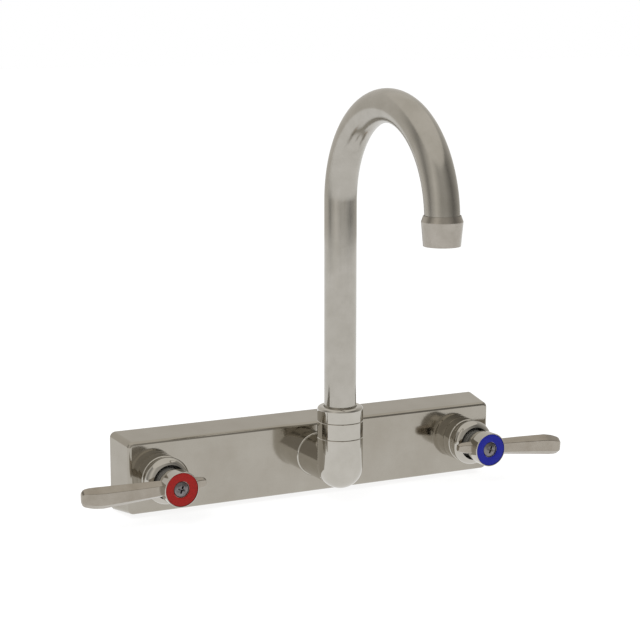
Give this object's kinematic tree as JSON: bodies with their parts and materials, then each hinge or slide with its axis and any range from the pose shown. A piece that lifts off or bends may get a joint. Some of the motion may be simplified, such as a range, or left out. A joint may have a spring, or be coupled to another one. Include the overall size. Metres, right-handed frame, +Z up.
{
  "type": "wall faucet",
  "caption": "Wall-mounted commercial kitchen faucet: long drafted steel cover, lever-handled quarter-turn valves on eight-inch centres and a swivel gooseneck spout.",
  "frame": {"origin": "on the wall face, midway between the two valve axes and level with them", "axes": "+X to the cold side along the wall, -Y out of the wall towards the user, +Z up"},
  "size_m": [0.3159, 0.207, 0.2473],
  "materials": {
    "satin_cover": "satin-polished stainless steel sheet",
    "polished_chrome": "mirror-polished chrome plate",
    "satin_lever": "satin chrome plate over cast metal",
    "brushed_tube": "stainless tube brushed along its length",
    "brushed_sleeve": "stainless sleeve brushed along its length",
    "red_index": "gloss red",
    "blue_index": "gloss blue",
    "dark_screw": "dark machined steel",
    "brass": "machined brass",
    "ceramic": "lapped white ceramic",
    "grey_nylon": "moulded grey nylon",
    "white_nylon": "moulded white nylon",
    "black_rubber": "moulded black rubber",
    "fibre": "pressed red-brown fibre",
    "plain_steel": "plain zinc-coated steel"
  },
  "bodies": {
    "faucet_body": {"body_shell": "satin_cover", "back_plate": "plain_steel", "waterway": "brass", "waterway_orings": "black_rubber", "hot_valve_body": "brass", "cold_valve_body": "brass", "shank_gaskets": "fibre", "shank_washers": "plain_steel", "shank_nuts": "brass", "hot_bonnet": "polished_chrome", "cold_bonnet": "polished_chrome", "hot_cartridge": "grey_nylon", "cold_cartridge": "grey_nylon", "hot_cartridge_oring": "black_rubber", "cold_cartridge_oring": "black_rubber", "hot_seat_seal": "black_rubber", "cold_seat_seal": "black_rubber", "hot_fixed_disc": "ceramic", "cold_fixed_disc": "ceramic", "outlet_elbow": "polished_chrome", "elbow_oring": "black_rubber", "swivel_ring": "polished_chrome", "spout_nut": "polished_chrome", "spout_bushing": "white_nylon"},
    "hot_lever": {"hot_handle": "satin_lever", "hot_index_ring": "red_index", "hot_handle_screw": "dark_screw", "hot_stem": "brass", "hot_stem_oring": "black_rubber", "hot_moving_disc": "ceramic"},
    "cold_lever": {"cold_handle": "satin_lever", "cold_index_ring": "blue_index", "cold_handle_screw": "dark_screw", "cold_stem": "brass", "cold_stem_oring": "black_rubber", "cold_moving_disc": "ceramic"},
    "spout": {"gooseneck": "brushed_tube", "spout_ferrule": "brass", "spout_orings": "black_rubber", "outlet_sleeve": "brushed_sleeve", "outlet_seal": "black_rubber", "stream_straightener": "white_nylon"}
  },
  "joints": [
    {"name": "hot_valve_turn", "type": "hinge", "parent": "faucet_body", "child": "hot_lever", "pos_m": [-0.1016, 0, 0], "axis": [0, -1, 0], "range_deg": [0, 90]},
    {"name": "cold_valve_turn", "type": "hinge", "parent": "faucet_body", "child": "cold_lever", "pos_m": [0.1016, 0, 0], "axis": [0, 1, 0], "range_deg": [0, 90]},
    {"name": "spout_swivel", "type": "hinge", "parent": "faucet_body", "child": "spout", "pos_m": [0, -0.053, 0], "axis": [0, 0, 1], "range_deg": [-100, 100]}
  ]
}
